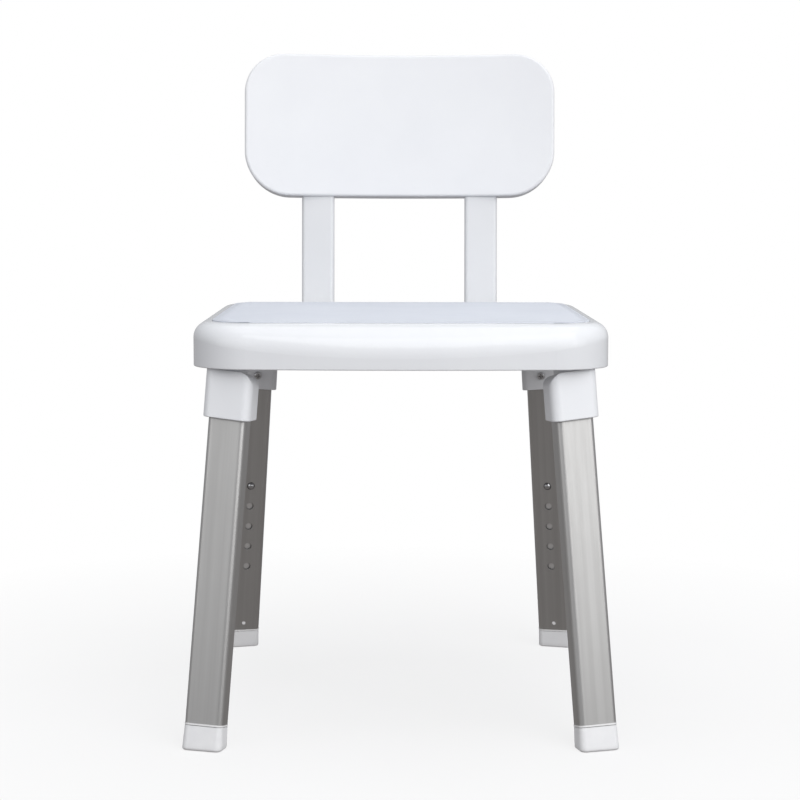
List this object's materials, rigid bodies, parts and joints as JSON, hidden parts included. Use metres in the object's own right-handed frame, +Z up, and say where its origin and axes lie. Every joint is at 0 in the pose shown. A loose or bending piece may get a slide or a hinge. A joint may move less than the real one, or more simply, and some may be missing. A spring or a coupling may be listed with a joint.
{
  "type": "shower chair",
  "caption": "Shower chair with a rolled-edge seat, curved backrest on two posts, and splayed telescoping legs locked by spring buttons.",
  "frame": {"origin": "on the floor, under the middle of the chair's overall box", "axes": "+Z up, -Y towards the chair's front, +X to the right of someone facing it"},
  "size_m": [0.4296, 0.4958, 0.7132],
  "materials": {
    "seat_plastic": "glossy white moulding",
    "panel_plastic": "fine non-slip texture, cool white",
    "socket_plastic": "satin white moulding",
    "back_plastic": "fine-grained satin white",
    "post_coating": "white powder coat",
    "leg_aluminium": "satin anodised, warm grey",
    "inner_aluminium": "satin",
    "bush_plastic": "natural white",
    "foot_rubber": "light grey, soft",
    "spring_steel": "bright spring steel",
    "button_chrome": "polished",
    "screw_steel": "stainless"
  },
  "bodies": {
    "frame": {"seat_shell": "seat_plastic", "seat_panel": "panel_plastic", "socket_screws": "screw_steel", "tube_screws": "screw_steel", "holder_screws": "screw_steel", "post_bolts": "screw_steel", "backrest_screws": "screw_steel", "post_holder_left": "socket_plastic", "post_holder_right": "socket_plastic", "back_post_left": "post_coating", "back_post_right": "post_coating", "post_plug_left": "bush_plastic", "post_plug_right": "bush_plastic", "backrest_shell": "back_plastic", "backrest_cover": "back_plastic", "leg_socket_front_left": "socket_plastic", "outer_tube_front_left": "leg_aluminium", "guide_bush_front_left": "bush_plastic", "leg_socket_front_right": "socket_plastic", "outer_tube_front_right": "leg_aluminium", "guide_bush_front_right": "bush_plastic", "leg_socket_rear_left": "socket_plastic", "outer_tube_rear_left": "leg_aluminium", "guide_bush_rear_left": "bush_plastic", "leg_socket_rear_right": "socket_plastic", "outer_tube_rear_right": "leg_aluminium", "guide_bush_rear_right": "bush_plastic"},
    "leg_front_left": {"inner_tube_front_left": "inner_aluminium", "foot_front_left": "foot_rubber", "spring_clip_front_left": "spring_steel"},
    "button_front_left": {"lock_button_front_left": "button_chrome"},
    "leg_front_right": {"inner_tube_front_right": "inner_aluminium", "foot_front_right": "foot_rubber", "spring_clip_front_right": "spring_steel"},
    "button_front_right": {"lock_button_front_right": "button_chrome"},
    "leg_rear_left": {"inner_tube_rear_left": "inner_aluminium", "foot_rear_left": "foot_rubber", "spring_clip_rear_left": "spring_steel"},
    "button_rear_left": {"lock_button_rear_left": "button_chrome"},
    "leg_rear_right": {"inner_tube_rear_right": "inner_aluminium", "foot_rear_right": "foot_rubber", "spring_clip_rear_right": "spring_steel"},
    "button_rear_right": {"lock_button_rear_right": "button_chrome"}
  },
  "joints": [
    {"name": "leg_front_left_slide", "type": "slide", "parent": "frame", "child": "leg_front_left", "axis": [-0.0687, -0.1732, -0.9825], "range_m": [0, 0.1016], "deforming": ["lock_button_front_left"]},
    {"name": "button_front_left_press", "type": "slide", "parent": "leg_front_left", "child": "button_front_left", "axis": [-0.1987, -0.9627, 0.1836], "range_m": [0, 0.005], "stiffness_N_per_m": 900, "springref_m": -0.002, "deforming": ["spring_clip_front_left"]},
    {"name": "leg_front_right_slide", "type": "slide", "parent": "frame", "child": "leg_front_right", "axis": [0.0687, -0.1732, -0.9825], "range_m": [0, 0.1016], "deforming": ["lock_button_front_right"]},
    {"name": "button_front_right_press", "type": "slide", "parent": "leg_front_right", "child": "button_front_right", "axis": [0.1987, -0.9627, 0.1836], "range_m": [0, 0.005], "stiffness_N_per_m": 900, "springref_m": -0.002, "deforming": ["spring_clip_front_right"]},
    {"name": "leg_rear_left_slide", "type": "slide", "parent": "frame", "child": "leg_rear_left", "axis": [-0.0687, 0.1732, -0.9825], "range_m": [0, 0.1016], "deforming": ["lock_button_rear_left"]},
    {"name": "button_rear_left_press", "type": "slide", "parent": "leg_rear_left", "child": "button_rear_left", "axis": [-0.1987, 0.9627, 0.1836], "range_m": [0, 0.005], "stiffness_N_per_m": 900, "springref_m": -0.002, "deforming": ["spring_clip_rear_left"]},
    {"name": "leg_rear_right_slide", "type": "slide", "parent": "frame", "child": "leg_rear_right", "axis": [0.0687, 0.1732, -0.9825], "range_m": [0, 0.1016], "deforming": ["lock_button_rear_right"]},
    {"name": "button_rear_right_press", "type": "slide", "parent": "leg_rear_right", "child": "button_rear_right", "axis": [0.1987, 0.9627, 0.1836], "range_m": [0, 0.005], "stiffness_N_per_m": 900, "springref_m": -0.002, "deforming": ["spring_clip_rear_right"]}
  ]
}
